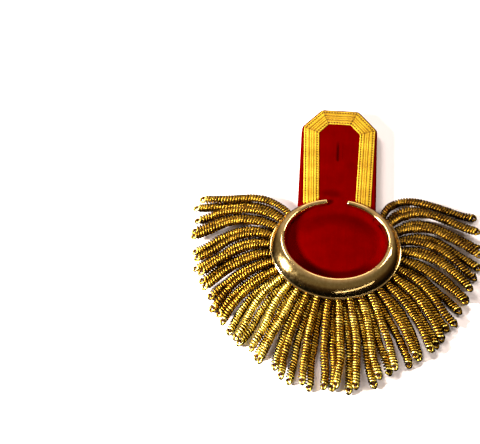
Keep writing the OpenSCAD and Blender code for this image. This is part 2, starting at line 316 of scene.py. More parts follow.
def woolCloth():
    # milled scarlet wool broadcloth: its felted nap hides the
    # weave, so it is matt, a little mottled and soft at its edges
    material, tree, shader = newMaterial("milledWoolBroadcloth")
    place = addNode(tree, "TexCoord").outputs["Object"]
    mottle = addNode(tree, "TexNoise", inputs={
        "Vector": place, "Scale": patternScale(cloth["mottle"]), "Detail": 3, "Roughness": 0.6})
    nap = addNode(tree, "TexNoise", inputs={
        "Vector": place, "Scale": patternScale(cloth["nap"]), "Detail": 2, "Roughness": 0.7})
    # the fibres run lengthwise
    drawn = addNode(tree, "Mapping", inputs={"Vector": place, "Scale": (1, 0.08, 1)})
    fibres = addNode(tree, "TexNoise", inputs={
        "Vector": drawn.outputs[0], "Scale": patternScale(cloth["fibre"]), "Detail": 2})
    mix = addNode(tree, "Math", {"operation": "MULTIPLY_ADD"},
                  {0: fibres.outputs[0], 1: 0.35, 2: mottle.outputs[0]})
    colour = addNode(tree, "ValToRGB", {"stops": [(0.35, cloth["shadeColour"]), (1.0, cloth["colour"])]},
                     {"Fac": mix.outputs[0]})
    # painted shade: the tone attribute mixes the cloth towards the painted shade colour
    paintedShade = addNode(tree, "Attribute", {"attribute_name": "tone"}).outputs["Fac"]
    darker = addNode(tree, "Mix", {"data_type": "RGBA"},
                     {0: paintedShade, 6: colour.outputs[0], 7: linearColour(cloth["paintedShadeColour"])})
    tree.links.new(darker.outputs[2], shader.inputs["Base Color"])
    height = addNode(tree, "Math", {"operation": "MULTIPLY_ADD"},
                     {0: mottle.outputs[0], 1: 0.5, 2: nap.outputs[0]})
    bump = addNode(tree, "Bump", inputs={
        "Height": height.outputs[0], "Strength": 0.22, "Distance": 0.00025})
    tree.links.new(bump.outputs[0], shader.inputs["Normal"])
    shader.inputs["Roughness"].default_value = 0.92
    shader.inputs["Specular IOR Level"].default_value = 0.0   # the nap scatters all of it
    return material


def clothHeight(x, y):
    # height and darkness of the cloth's top at a place in plan: the flat strap,
    # plus a swollen panel, the seat under the crescent and a domed pad in a groove,
    # less a dip between the horns and the buttonhole's slit with its lips. Each is
    # a height times smooth steps and bells. The darkness is painted shade: the crescent's
    # shadow in front of the dome, the dome's back slope, the dip and the slit
    panel, neck, seat, dome, paintedShade, dip, slit = (
        cloth[form] for form in ("panel", "neck", "seat", "dome", "paintedShade", "dip", "slit"))
    side = np.abs(x)
    fromField = ovalShare(x, y, (0, oval["fieldShift"]), fieldHalf)
    fromDome = ovalShare(x, y, dome["middle"], dome["half"])
    fromDip = ovalShare(x, y, dip["middle"], dip["half"])
    onPanel = smoothStep(y, *panel["front"]) * smoothFall(y, *panel["back"])
    z = strap["thick"] + panel["puff"] * onPanel * smoothFall(side, *panel["side"])
    onNeck = smoothStep(y, *neck["front"]) * smoothFall(side, *neck["side"])   # the cloth stays down there
    seated = smoothStep(fromField, *seat["inner"]) * smoothFall(fromField, *seat["outer"]) * (1 - onNeck)
    z = z + (seat["height"] - strap["thick"]) * seated
    hill = 1 - np.clip(fromDome, 0, dome["rim"][1]) ** dome["roundness"]
    z = z + dome["rise"] * hill * smoothFall(fromDome, *dome["rim"])
    z = z - dome["groove"] * bell(fromDome - dome["grooveAt"], dome["grooveHalf"])
    backwards = (y - dome["middle"][1]) / dome["half"][1]
    # painted shade: the crescent's shadow on the field in front of the dome, and the dome's darker back
    # slope
    inFront = smoothStep(fromDome, *paintedShade["frontOut"]) * smoothStep(-backwards, *paintedShade["frontTurn"])
    behind = bell(fromDome - paintedShade["backAt"], paintedShade["backHalf"])
    behind = behind * smoothFall(fromDome, *paintedShade["backOut"])
    behind = behind * smoothStep(backwards, *paintedShade["backTurn"])
    dark = paintedShade["front"] * inFront + paintedShade["back"] * behind
    dark = dark * smoothFall(fromField, *paintedShade["field"])
    # the dip is also darkened with painted shade
    sunk = smoothFall(fromDip, *dip["out"]) * smoothFall(side, *dip["side"])
    z, dark = z - dip["depth"] * sunk, dark + dip["shade"] * sunk
    half = slit["length"] / 2
    along = y - (strap["reach"] - slit["drop"] - half)
    front = -half - slit["overrun"]
    onSlit = (smoothStep(along, front, front + slit["frontFade"])
              * smoothFall(along, slit["backFadeFrom"], half + slit["overrun"]))
    z = z - slit["depth"] * onSlit * bell(x, slit["half"])
    z = z + slit["lip"] * onSlit * bell(side - slit["lipAt"], slit["lipHalf"])
    # the slit is darkened with painted shade
    return z, np.maximum(dark, slit["shade"] * onSlit * bell(x, slit["shadeHalf"]))


def roundedOutline(corners, rounds, step):
    # a closed outline with each corner replaced by a curve that leaves and meets its edges
    # at the given distance, (1-t)^2 A + 2t(1-t) corner + t^2 B, and its edges divided evenly
    mostOfEdge, curveSteps = 0.45, 7

    def towards(corner, other, distance):
        # the point at a distance along an edge
        room = np.linalg.norm(other - corner)
        return corner + (other - corner) / room * min(distance, mostOfEdge * room)

    pieces = []
    for i, corner in enumerate(corners):
        following = (i + 1) % len(corners)
        a = towards(corner, corners[i - 1], rounds[i])
        b = towards(corner, corners[following], rounds[i])
        t = np.linspace(0, 1, curveSteps if rounds[i] else 1)[:, None]
        pieces.append((1 - t) ** 2 * a + 2 * t * (1 - t) * corner + t * t * b)
        end = towards(corners[following], corner, rounds[following])
        count = int(np.linalg.norm(end - b) / step)
        pieces.append(b + (end - b) * np.linspace(0, 1, count + 1)[1:-1, None])
    return np.concatenate(pieces)


def clothOutline():
    # counterclockwise from the front: the board's rim, the shoulder's lip, the strap's side,
    # its cut corner and top, with close columns where the slit runs, and the same mirrored
    rimTurns = np.linspace(0, rootFan + cloth["rimPast"] * rootStep, cloth["rimSteps"])
    rim = ovalPoint(ovalHalf[0] - strap["boardInset"], ovalHalf[1] - strap["boardInset"], rimTurns)
    half = np.concatenate([rim, strapSide()])
    halfRounds = np.append(np.zeros(len(rim) - 1), cloth["rounds"])
    aside, count = cloth["slitColumns"]
    columns = np.column_stack([np.linspace(aside, -aside, count), np.full(count, strap["reach"])])
    corners = np.concatenate([half, columns, half[:0:-1] * [-1, 1]])
    rounds = np.concatenate([halfRounds, np.zeros(count), halfRounds[:0:-1]])
    return roundedOutline(corners, rounds, cloth["step"])


def addClothBody(material):
    # rings of the outline over the underside, up the wall and over the rounded edge, then rings
    # that turn step by step from the outline into the field's oval, and ovals that shrink to
    # its middle: P = A + (B - A) s. On the top each point takes its height from clothHeight
    outline = clothOutline()
    tangent = unit(np.roll(outline, -1, 0) - np.roll(outline, 1, 0))
    outward = np.stack([tangent[:, 1], -tangent[:, 0]], -1)
    over = cloth["easeOver"]   # neighbours on each side, so that no inner ring folds over
    eased = unit(sum(np.roll(outward, shift, 0) for shift in range(-over, over + 1)))
    middle = np.array([0, oval["fieldShift"]])
    thick, edge = strap["thick"], strap["edgeRound"]
    foot = outline - eased * cloth["wall"][0][1]
    under = middle + (foot - middle) * np.array(cloth["underRings"])[:, None, None]
    turn = np.linspace(*cloth["edgeTurns"])
    rounding = np.column_stack([thick - edge + edge * np.sin(turn), edge * (1 - np.cos(turn))])
    wallZ, inset = np.concatenate([cloth["wall"], rounding]).T[:, :, None]
    wall = outline - eased * inset[..., None]
    inner = outline - eased * edge
    turn = np.arctan2(inner[:, 1] - middle[1], inner[:, 0])
    way = np.stack([np.cos(turn), np.sin(turn)], -1)
    field = way / np.linalg.norm(way / fieldHalf, axis=-1, keepdims=True)
    inField = np.append(np.linspace(*cloth["ringsInField"]), cloth["lastRing"])
    topside = np.concatenate([
        inner + (middle + field - inner) * np.linspace(*cloth["ringsToField"])[:, None, None],
        middle + field * inField[:, None, None]])
    z, dark = clothHeight(topside[..., 0], topside[..., 1])
    nearRim = np.clip(1 - np.linalg.norm(topside - inner, axis=-1) / cloth["rimBlend"], 0, 1) ** 2
    plan = np.concatenate([under, wall, topside])
    flat, plain = np.zeros(under.shape[:2]), np.zeros(wall.shape[:2])
    height = np.concatenate([flat, wallZ + plain, z + (thick - z) * nearRim])
    tone = np.concatenate([flat, plain, dark])
    points = np.concatenate([plan, height[..., None]], -1)
    # the columns are taken backwards, so that the faces point outwards
    piece = makePiece("clothBody", [{"points": points[:, ::-1], "tone": tone[:, ::-1]}], material)
    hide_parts("cloth_body")
    return piece


lace = {
    "colour": "9a7912", "brightColour": "c8a22a", "grooveColour": "764c02", "pinholeColour": "2c1a02",
    "threads": (0.4808, 1.099), "weftPitch": 0.7,   # drawn about twice as coarse as they are, to show
    "width": 12.3, "margin": 1.7, "footWidth": 53.4, "lift": 0.15, "tuck": 1.5, "columns": 71, "step": 0.25,
    "edgeRise": 0.34, "bodyRise": 0.14, "ribRise": 0.16, "picotRise": 0.05, "lowest": 0.06,
    "tone": 0.62, "edgeTone": 0.14, "ribHighlight": 0.1, "wear": [(0.05, 5.0), (0.04, 1.9)],
    # how far in from the edge each of these starts and ends
    "edgeRound": (-0.3, 0.7), "bodyFrom": (2.0, 2.8), "brightEdge": (0.5, 1.2), "picotEdge": (0.2, 1.1),
    # place across, half width, depth and darkness of each woven-in line
    "grooves": [(1.5, 0.42, 0.10, 0.06), (4.6, 0.40, 0.2, 0.34), (6.4, 0.30, 0.09, 0.18),
                (8.3, 0.40, 0.2, 0.34), (10.8, 0.42, 0.10, 0.06)],
    "pinholes": {"places": (1.5, 10.8), "pitch": 2.2, "half": 0.55, "depth": 0.22, "shade": 1.0},
    "mitre": {"half": 0.5, "depth": 0.24, "shade": 0.4, "stitch": 1.3},   # the fold between two runs
    "runTones": (-0.02, -0.04, -0.12, -0.02, 0.03),   # from the right run over the top to the left one
}


def goldLace():
    # half-inch lace woven of gilt wire over yellow silk: raised ribs along it, a row
    # of pin holes inside each edge, and a grain of single threads that catch the light
    material, tree, shader = newMaterial("wovenGiltLace")
    uv = addNode(tree, "UVMap", {"uv_map": "UVMap"}).outputs[0]   # millimetres across and along
    tone = addNode(tree, "Attribute", {"attribute_name": "tone"}).outputs["Fac"]
    weft = addNode(tree, "TexWave", {"wave_type": "BANDS", "bands_direction": "Y"},
                   {"Vector": uv, "Scale": bandScale(lace["weftPitch"]), "Distortion": 0.6, "Detail": 1})
    wide, long = lace["threads"]
    threads = addNode(tree, "Mapping", inputs={"Vector": uv, "Scale": (1 / wide, 1 / long, 1)})
    fine = addNode(tree, "TexNoise", inputs={
        "Vector": threads.outputs[0], "Scale": 1, "Detail": 3, "Roughness": 0.75})
    grain = addNode(tree, "Math", {"operation": "MULTIPLY_ADD"}, {0: fine.outputs[0], 1: 1.5, 2: -0.75})
    shade = addNode(tree, "Math", {"operation": "ADD"}, {0: grain.outputs[0], 1: tone})
    colour = addNode(tree, "ValToRGB",
                     {"stops": [(0.05, lace["pinholeColour"]), (0.35, lace["grooveColour"]),
                                (0.68, lace["colour"]), (0.95, lace["brightColour"])]},
                     {"Fac": shade.outputs[0]})
    tree.links.new(colour.outputs[0], shader.inputs["Base Color"])
    height = addNode(tree, "Math", {"operation": "MULTIPLY_ADD"},
                     {0: fine.outputs[0], 1: 1.5, 2: weft.outputs[1]})
    bump = addNode(tree, "Bump", inputs={"Height": height.outputs[0], "Strength": 0.6, "Distance": 0.0002})
    tree.links.new(bump.outputs[0], shader.inputs["Normal"])
    shader.inputs["Metallic"].default_value = 0.3
    shader.inputs["Roughness"].default_value = 0.45
    shader.inputs["Specular IOR Level"].default_value = 0.1
    return material


def mitres(path):
    # at each corner of an open path, how far to move inwards
    # for each millimetre that both edges beside it draw in
    ahead = unit(np.diff(path, axis=0))
    both = np.vstack([ahead[:1], ahead]) + np.vstack([ahead, ahead[-1:]])
    inward = np.stack([-both[:, 1], both[:, 0]], -1)
    return 2 * inward / np.sum(inward ** 2, -1, keepdims=True)


def laceProfile(across):
    # height and tone across the lace: bright round edges, then round ribs between the woven-in lines,
    # lighter along their crests as a painted highlight
    edge = np.minimum(across, lace["width"] - across)
    z = lace["edgeRise"] * np.sqrt(smoothStep(edge, *lace["edgeRound"]))
    z = z + lace["bodyRise"] * smoothStep(edge, *lace["bodyFrom"])
    tone = lace["tone"] + lace["edgeTone"] * smoothFall(edge, *lace["brightEdge"])
    places = [0.0] + [groove[0] for groove in lace["grooves"]] + [lace["width"]]
    for low, high in zip(places[:-1], places[1:]):
        rib = np.sin(np.pi * np.clip((across - low) / (high - low), 0, 1))
        # painted highlight along each rib's crest
        z, tone = z + lace["ribRise"] * rib, tone + lace["ribHighlight"] * rib
    for place, half, depth, dark in lace["grooves"]:
        dent = bell(across - place, half)
        z, tone = z - depth * dent, tone - dark * dent
    return z, tone


def laceLines():
    # the strap's outline as a path, and lines along the lace at even steps across it, between the path's
    # mitred corners. The long runs end under the crescent, on the field's oval drawn out by the tuck
    _, meet, corner, top = strapSide()
    meet = np.array([lace["footWidth"] / 2 + lace["margin"], meet[1]])
    foot = meet - (corner - meet) / 2
    flip = np.array([-1, 1])
    path = np.stack([foot, corner, top, top * flip, corner * flip, foot * flip])
    across = np.linspace(0, lace["width"], lace["columns"])
    lines = path + (lace["margin"] + across)[:, None, None] * mitres(path)
    low, upper = lines[:, 0], lines[:, 1]
    halfW, halfL = fieldHalf[0] + lace["tuck"], fieldHalf[1] + lace["tuck"]
    cutY = oval["fieldShift"] + halfL * np.sqrt(1 - (low[:, 0] / halfW) ** 2)
    cut = low + (upper - low) * ((cutY - low[:, 1]) / (upper[:, 1] - low[:, 1]))[:, None]
    lines[:, 0], lines[:, -1] = cut, cut * flip
    return path, across, lines


def laceRun(run, path, across, lines):
    # one run's closed skin and its area. The profile is its height, with
    # picots along its edges, pin holes and a fold at each mitre, and the way
    # along is measured from the run's middle so that its pattern is even
    start, end = lines[:, run], lines[:, run + 1]
    length = np.linalg.norm(end - start, axis=-1)
    area = np.sum((length[1:] + length[:-1]) / 2 * np.diff(across))
    t = np.linspace(0, 1, int(length.max() / lace["step"]))[:, None]
    plan = start + (end - start) * t[..., None]
    ahead = unit(path[run + 1] - path[run])
    along = np.sum((plan - (path[run] + path[run + 1]) / 2) * ahead, -1)
    height, tone = laceProfile(across)
    pins, mitre = lace["pinholes"], lace["mitre"]
    edge = np.minimum(across, lace["width"] - across)
    beat = np.cos(2 * np.pi * along / pins["pitch"])
    picots = np.cos(4 * np.pi * along / pins["pitch"]) * smoothFall(edge, *lace["picotEdge"])
    holes = sum(bell(across - place, pins["half"]) for place in pins["places"]) * (0.5 + 0.5 * beat) ** 2
    seam = np.full(along.shape, np.inf)   # how far the nearest mitre is
    if run > 0:
        seam = np.minimum(seam, t * length)
    if run < 4:
        seam = np.minimum(seam, (1 - t) * length)
    fold = bell(seam, mitre["half"])
    z = height + lace["picotRise"] * picots - pins["depth"] * holes - mitre["depth"] * fold
    stitches = 0.6 + 0.4 * np.cos(2 * np.pi * across / mitre["stitch"])
    wear = waver(along, lace["wear"], (run, 2 * run))
    bright = tone - pins["shade"] * holes - mitre["shade"] * fold * stitches + wear + lace["runTones"][run]
    base = strap["thick"] + lace["lift"]
    top = np.concatenate([plan, (base + np.maximum(z, lace["lowest"]))[..., None]], -1)
    under = np.concatenate([plan, np.full_like(z, base)[..., None]], -1)
    uv = np.stack([np.broadcast_to(across, along.shape), along], -1)
    # at each station a closed ring: backwards over the top, then the underside's two corners
    skin = {name: np.concatenate([over[:, ::-1], below[:, [0, -1]]], axis=1)
            for name, over, below in (("points", top, under), ("uv", uv, uv), ("tone", bright, bright))}
    return skin, area


def addLace(material):
    # five runs with mitred corners
    path, across, lines = laceLines()
    skins, areas = zip(*(laceRun(run, path, across, lines) for run in range(5)))
    piece = makePiece("goldLace", skins, material)
    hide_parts("gold_lace")
    return piece


crescent = {
    "colour": "edca86", "shadeColour": "dab068", "ripple": 10.53, "smear": 2.381,
    "bulgePower": 0.9, "stations": 241, "hornRoundTurn": 1.8, "hornStations": 9, "hornCrowding": 1.5,
    # the section from the flange over the bulge to the inner edge, as shares of the width and the height
    "section": [[0.015, 0.055], [0.045, 0.07], [0.08, 0.14], [0.13, 0.25], [0.20, 0.39], [0.30, 0.565],
                [0.40, 0.715], [0.50, 0.84], [0.60, 0.94], [0.69, 1.0], [0.77, 0.965], [0.86, 0.82],
                [0.93, 0.56], [0.975, 0.28], [1.0, 0.06]],
    "flange": [[0, 0], [0, 0.03], [0.004, 0.05]],   # its thin edge, in the same shares
    "sectionSteps": 45, "sectionStretch": 1.9,   # the real section is about 1.9 times as wide as it is high
    "hornWidths": (4.0, 9.0),   # a half round where the crescent is narrower, the section where it is wider
}


def polishedBrass():
    # pressed and buffed brass sheet: mirror-bright, with
    # faint long-wave ripples and hairline wiping scratches
    material, tree, shader = newMaterial("buffedBrassSheet")
    colours = [(0.3, crescent["shadeColour"]), (0.7, crescent["colour"])]
    smear = driftingColour(tree, shader, crescent["smear"], colours, detail=4, roughness=0.65)
    rough = addNode(tree, "MapRange", inputs={0: smear, 1: 0.3, 2: 0.75, 3: 0.07, 4: 0.16})
    tree.links.new(rough.outputs[0], shader.inputs["Roughness"])
    place = addNode(tree, "TexCoord").outputs["Object"]
    ripple = addNode(tree, "TexNoise", inputs={
        "Vector": place, "Scale": patternScale(crescent["ripple"]), "Detail": 1, "Roughness": 0.4})
    bump = addNode(tree, "Bump", inputs={"Height": ripple.outputs[0], "Strength": 0.14, "Distance": 0.0006})
    tree.links.new(bump.outputs[0], shader.inputs["Normal"])
    shader.inputs["Metallic"].default_value = 1.0
    return material


def crescentWidth(turn):
    # how far straight in from the outer edge the field's
    # oval lies: the first root of the line with that oval
    u = (ovalPoint(*ovalHalf, turn) - [0, oval["fieldShift"]]) / fieldHalf
    v = ovalOut(*ovalHalf, turn) / fieldHalf
    uv, vv, uu = np.sum(u * v, -1), np.sum(v * v, -1), np.sum(u * u, -1)
    return (uv - np.sqrt(uv ** 2 - vv * (uu - 1))) / vv


def addCrescent(material):
    # a section carried round the oval, P = edge - outward w a, z = h u, as wide as the room between
    # the outer oval and the field's, lower where it narrows, and shrunk to a round end at each horn
    hornTurn = 180 - math.degrees(math.asin(oval["hornGap"] / oval["width"]))
    evenTurn = hornTurn - crescent["hornRoundTurn"]
    # shares of a horn's end, close together at its tip
    q = np.linspace(0, 1, crescent["hornStations"] + 2)[1:-1] ** crescent["hornCrowding"]
    hornEnd = hornTurn - q * crescent["hornRoundTurn"]
    turns = np.linspace(-evenTurn, evenTurn, crescent["stations"])
    turns = np.concatenate([-hornEnd, turns, hornEnd[::-1]])
    endFill = np.sqrt(1 - (1 - q) ** 2)
    fill = np.concatenate([endFill, np.ones(crescent["stations"]), endFill[::-1]])[:, None]
    section = np.array(crescent["section"])
    length = lengthsAlong(section * [crescent["sectionStretch"], 1])
    places = np.linspace(0, 1, crescent["sectionSteps"])
    across, up = (smoothThrough(length / length[-1], section[:, i], places) for i in (0, 1))
    flangeAcross, flangeUp = np.transpose(crescent["flange"])
    across = np.concatenate([flangeAcross, across, [1]])   # and the foot
    up = np.concatenate([flangeUp, up, [0]])
    width = crescentWidth(turns)[:, None]
    halfRound = smoothFall(width, *crescent["hornWidths"])
    up = up * (1 - halfRound) + np.sqrt(np.clip(1 - (2 * across - 1) ** 2, 0, 1)) * halfRound
    height = oval["height"] * (width / crescentWidth(0.0)) ** crescent["bulgePower"] * fill
    inwards = width * (0.5 + (across - 0.5) * fill)
    plan = ovalPoint(*ovalHalf, turns)[:, None] - ovalOut(*ovalHalf, turns)[:, None] * inwards[..., None]
    points = np.concatenate([plan, (crescentZ + height * up)[..., None]], -1)
    piece = makePiece("brassCrescent", [{"points": points[:, ::-1]}], material)
    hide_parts("crescent")
    return piece


bullion = {
    "colour": "a67d24", "shadeColour": "381903", "brightColour": "f2d862",
    "coreColour": "422006", "coreShade": "240d02",
    "patch": 6.25, "fray": 2.0, "wirePitch": 0.49348,   # the wire is finer and is drawn coarser, to show
    "lead": 4.4, "coilRadius": 2.42, "gimpRadius": 0.80, "turnSteps": 15, "gimpSides": 6,
    "fullness": 0.3, "fullFrom": (0.12, 0.35),   # the coils open a little over this part of their length
    # the winding is slacker here and tighter there: share and length of each wave
    "leadWaves": [(0.07, 5.0), (0.05, 1.9)], "swellWaves": [(0.035, 4.0), (0.02, 1.4)],
    "loopLength": 3.7, "loopUneven": (0.85, 1.1), "loopTwist": 1.25, "loopWiden": -0.2, "loopSteps": 12,
    "loopTilt": (-0.45, 0.45), "loopDroop": 1.2, "loopThicken": 0.35,
    "loopThickOver": (6, 18), "loopBrightOver": (6, 26),   # in steps from the tip
    "coreRadius": 2.15, "coreShort": 1.9, "coreSteps": 24, "coreSides": 8, "coreTaper": (0.5, 5),
    # painted light and shade on whole strands, lighter or darker by how the light falls where they lie,
    # from the leftmost at -1 to the rightmost at 1
    "paintedStrandLight": [[-1, -0.18], [-0.6, -0.28], [-0.38, 0.08], [0, -0.08], [0.35, -0.08], [0.6, -0.28],
                    [1, -0.34]],
    # grooveTone paints shade on the gimp's side next the axis and a highlight on its outer side
    "tone": 0.35, "toneScatter": (-0.1, 0.1), "loopTone": 0.3, "grooveTone": 0.26, "grooveFrom": 0.3,
    # each strand also bends by itself: share, half turns and stretch of the start of each wave
    "wander": 0.675, "bends": [(1.0, 2.2, 1.0), (0.5, 4.6, 1.7)], "bendStep": 1.1,
    "bendScatter": (-0.8, 0.8), "seed": 7, "axisSteps": 61,
    "tapeHalf": 0.9, "tapeHeights": (0.35, 11.9), "tapeSteps": 160, "tapePast": 0.25,
}


def giltBullion():
    # stiff gimp of fine gilt wire, gone a little dull: each
    # turn glints where it faces the light and is brown between, partly painted shade
    material, tree, shader = newMaterial("giltWireBullion")
    place = addNode(tree, "TexCoord").outputs["Object"]
    uv = addNode(tree, "UVMap", {"uv_map": "UVMap"}).outputs[0]   # millimetres round and along the gimp
    tone = addNode(tree, "Attribute", {"attribute_name": "tone"}).outputs["Fac"]
    patches = addNode(tree, "TexNoise", inputs={
        "Vector": place, "Scale": patternScale(bullion["patch"]), "Detail": 3, "Roughness": 0.65})
    mix = addNode(tree, "Math", {"operation": "MULTIPLY_ADD"}, {0: patches.outputs[0], 1: 0.8, 2: tone})
    colour = addNode(tree, "ValToRGB",
                     {"stops": [(0.35, bullion["shadeColour"]), (0.85, bullion["colour"]),
                                (1.0, bullion["brightColour"])]},
                     {"Fac": mix.outputs[0]})
    tree.links.new(colour.outputs[0], shader.inputs["Base Color"])
    wire = addNode(tree, "TexWave", {"wave_type": "BANDS", "bands_direction": "Y"},
                   {"Vector": uv, "Scale": bandScale(bullion["wirePitch"]), "Distortion": 0.3})
    bump = addNode(tree, "Bump", inputs={"Height": wire.outputs[1], "Strength": 0.3, "Distance": 0.00012})
    tree.links.new(bump.outputs[0], shader.inputs["Normal"])
    rough = addNode(tree, "MapRange", inputs={0: patches.outputs[0], 1: 0.3, 2: 0.7, 3: 0.18, 4: 0.36})
    tree.links.new(rough.outputs[0], shader.inputs["Roughness"])
    shader.inputs["Metallic"].default_value = 1.0
    return material


def coreCordPaintedShade():
    # waxed cotton core cord inside each coil: its dark colour is painted shade for the inside of the coil,
    # so the gaps between the turns read as lines
    material, tree, shader = newMaterial("waxedCoreCordPaintedShade")
    colours = [(0.3, bullion["coreShade"]), (0.7, bullion["coreColour"])]
    driftingColour(tree, shader, bullion["fray"], colours)
    shader.inputs["Roughness"].default_value = 0.8
    shader.inputs["Specular IOR Level"].default_value = 0.1   # frayed cotton, nearly without a sheen
    return material


def scatter(k, stir):
    # an even scatter between -1 and 1 for strand k: the fraction of (k + 5)^2 times an irrational
    v = (k + 5.0) ** 2 * stir
    return 2 * (v - np.floor(v)) - 1


def strandRoutes(s):
    # every strand's axis at shares s of its way: a cubic curve from its root
    # on the head band to its tip, a wave across it, and a height that clears
    # both neighbours: odd strands lie on the table and even ones ride on them
    k = np.arange(fringe["strands"])
    share = 2 * k / (fringe["strands"] - 1) - 1
    turn = rootFan * share
    root = ovalPoint(*rootHalf, turn)
    out = ovalOut(*rootHalf, turn)
    lean = np.where(share < 0, fringe["leftLean"], fringe["rightLean"]) * share ** fringe["leanPower"]
    leaving = np.degrees(np.arctan2(out[:, 0], -out[:, 1])) + lean
    tipTurn = fringe["tipFan"] * share + fringe["tipSway"] * scatter(k, fringe["swayStir"])
    landing = tipTurn - fringe["comb"] * np.sin(np.radians(tipTurn))
    reach = fringe["reach"] * np.interp(np.abs(tipTurn), *np.transpose(fringe["reachShares"]))
    reach = reach + fringe["tipUneven"] * scatter(k, fringe["lengthStir"])
    tip = reach[:, None] * heading(tipTurn)
    span = np.linalg.norm(tip - root, axis=-1, keepdims=True)
    pulled = fringe["rootPull"] + np.abs(lean)[:, None] * fringe["leanPull"]
    pull = root + heading(leaving) * span * pulled
    draw = tip - heading(landing) * span * fringe["tipPull"]
    chord = (tip - root) / span
    sideways = np.stack([-chord[:, 1], chord[:, 0]], -1)

    def plan(shares):
        # the axes seen from above
        w = shares[None, :, None]
        curve = ((1 - w) ** 3 * root[:, None] + 3 * w * (1 - w) ** 2 * pull[:, None]
                 + 3 * w * w * (1 - w) * draw[:, None] + w ** 3 * tip[:, None])
        phase = 360 * w * fringe["waveTurns"] + fringe["waveLag"] * k[:, None, None]
        return curve + sideways[:, None] * fringe["wave"] * w * np.sin(np.radians(phase))

    def besideNeighbour(w):
        # how far each strand's axis runs beside its neighbours' at the same share, square to them
        p = plan(w)
        ahead = unit(plan(w + 0.01) - plan(w - 0.01))
        between = np.diff(p, axis=0)
        room = np.full((2,) + p.shape[:2], np.inf)
        for side, inner, outer in ((0, slice(1, None), ahead[1:]), (1, slice(None, -1), ahead[:-1])):
            room[side, inner] = np.abs(between[..., 0] * outer[..., 1] - between[..., 1] * outer[..., 0])
        return room.min(0)

    looks = (-fringe["look"], 0, fringe["look"])
    room = np.min([besideNeighbour(np.clip(s + look, 0, 1)) for look in looks], axis=0)
    rise = np.minimum(sideRise, np.sqrt(np.maximum(0, spacing ** 2 - room ** 2)))
    padded = np.pad(rise, ((0, 0), (2, 2)), mode="edge")
    weights = (1, 2, 3, 2, 1)   # a running mean along the strand
    rise = sum(weight * padded[:, i:i + len(s)] for i, weight in enumerate(weights)) / sum(weights)
    z = fringe["diameter"] / 2 + np.where((k % 2 == 1)[:, None], 0, rise)
    z = z + bullion["fullness"] * smoothStep(s, *bullion["fullFrom"])
    return np.concatenate([plan(s), z[..., None]], -1)


def gimpPath(route, rng):
    # one length of gimp, wound left-handed round the strand's axis to the tip, through an
    # end loop, and wound back between its own turns: C + r (cos f S + sin f U), with S to
    # the right and U up. In the loop the radius closes to the axis while it runs out by
    # the loop's length. Returns the path and the axis beside it
    total = lengthsAlong(route)[-1] - bullion["loopLength"]
    lengths = np.linspace(0, total, int(total / bullion["lead"] * bullion["turnSteps"]))
    axis = evenlyAlong(route, lengths)
    ahead = unit(np.gradient(axis, axis=0))
    right = unit(rightOf(ahead))
    up = np.cross(right, ahead)
    endAngle = rng.uniform(*bullion["loopTilt"]) - bullion["loopTwist"] / 2
    endAngle += np.pi * rng.integers(0, 2)
    beats = rng.uniform(0, 2 * np.pi, 4)
    lead = bullion["lead"] * (1 + waver(lengths, bullion["leadWaves"], beats[:2]))
    windings = np.append(0, 2 * np.pi * np.diff(lengths) / lead[1:])
    angle = endAngle - np.cumsum(windings[::-1])[::-1]
    fuller = bullion["fullness"] * smoothStep(lengths / total, *bullion["fullFrom"])
    radius = bullion["coilRadius"] * (1 + waver(lengths, bullion["swellWaves"], beats[2:])) + fuller
    v = np.linspace(0, 1, bullion["loopSteps"])[1:]
    loopOut = bullion["loopLength"] * rng.uniform(*bullion["loopUneven"]) * np.sin(np.pi * v / 2)
    widened = bullion["coilRadius"] * (1 + bullion["loopWiden"] * np.sin(np.pi * v))
    loopRadius = widened * np.cos(np.pi * v / 2)
    # the loops sink towards the table
    droop = min(bullion["loopDroop"], axis[-1, 2] - bullion["loopDroop"]) * v ** 2
    angle = np.append(angle, endAngle + bullion["loopTwist"] * v)[:, None]
    radius = np.append(radius, loopRadius)[:, None]
    right, up, middle = (np.concatenate([a, np.repeat(a[-1:], len(v), 0)]) for a in (right, up, axis))
    centre = middle.copy()
    centre[-len(v):] += loopOut[:, None] * ahead[-1] - droop[:, None] * [0, 0, 1]
    out, back = (centre + radius * (np.cos(angle + start) * right + np.sin(angle + start) * up)
                 for start in (0, np.pi))
    path = np.concatenate([out, back[-2::-1]])
    middle = np.concatenate([middle, middle[-2::-1]])
    for _ in range(2):   # ease the bend where the winding becomes the loop
        path[1:-1] = 0.25 * path[:-2] + 0.5 * path[1:-1] + 0.25 * path[2:]
    shrunk = 1 - (math.pi / bullion["turnSteps"]) ** 2   # each turn by one of the two easings
    path = middle + (path - middle) / shrunk
    path[:, 2] = np.maximum(path[:, 2], bullion["gimpRadius"])
    return path, middle


def coiledStrand(route, share, rng):
    # a tube along the gimp's path, thicker and brighter round the end loop,
    # and darker on the side next the axis and lighter outside, painted shade and a painted highlight
    path, middle = gimpPath(route, rng)
    fromTip = np.abs(np.arange(len(path)) - len(path) / 2)
    thick = 1 + bullion["loopThicken"] * smoothFall(fromTip, *bullion["loopThickOver"])
    points = tubeAlong(path, path - middle, bullion["gimpRadius"] * thick, bullion["gimpSides"])
    side = 2 * np.pi * np.arange(bullion["gimpSides"]) / bullion["gimpSides"]
    uv = np.stack(np.broadcast_arrays(side * bullion["gimpRadius"], lengthsAlong(path)[:, None]), -1)
    # painted light: each strand lighter or darker by where it lies
    tone = bullion["tone"] + np.interp(share, *np.transpose(bullion["paintedStrandLight"]))
    tone = tone + rng.uniform(*bullion["toneScatter"])
    tone = tone + bullion["loopTone"] * smoothFall(fromTip, *bullion["loopBrightOver"])
    # painted shade between the turns and a painted highlight on their outer side
    paintedTurnShading = bullion["grooveTone"] * (np.cos(side) - bullion["grooveFrom"])
    return {"points": points, "uv": uv, "tone": tone[:, None] + paintedTurnShading}


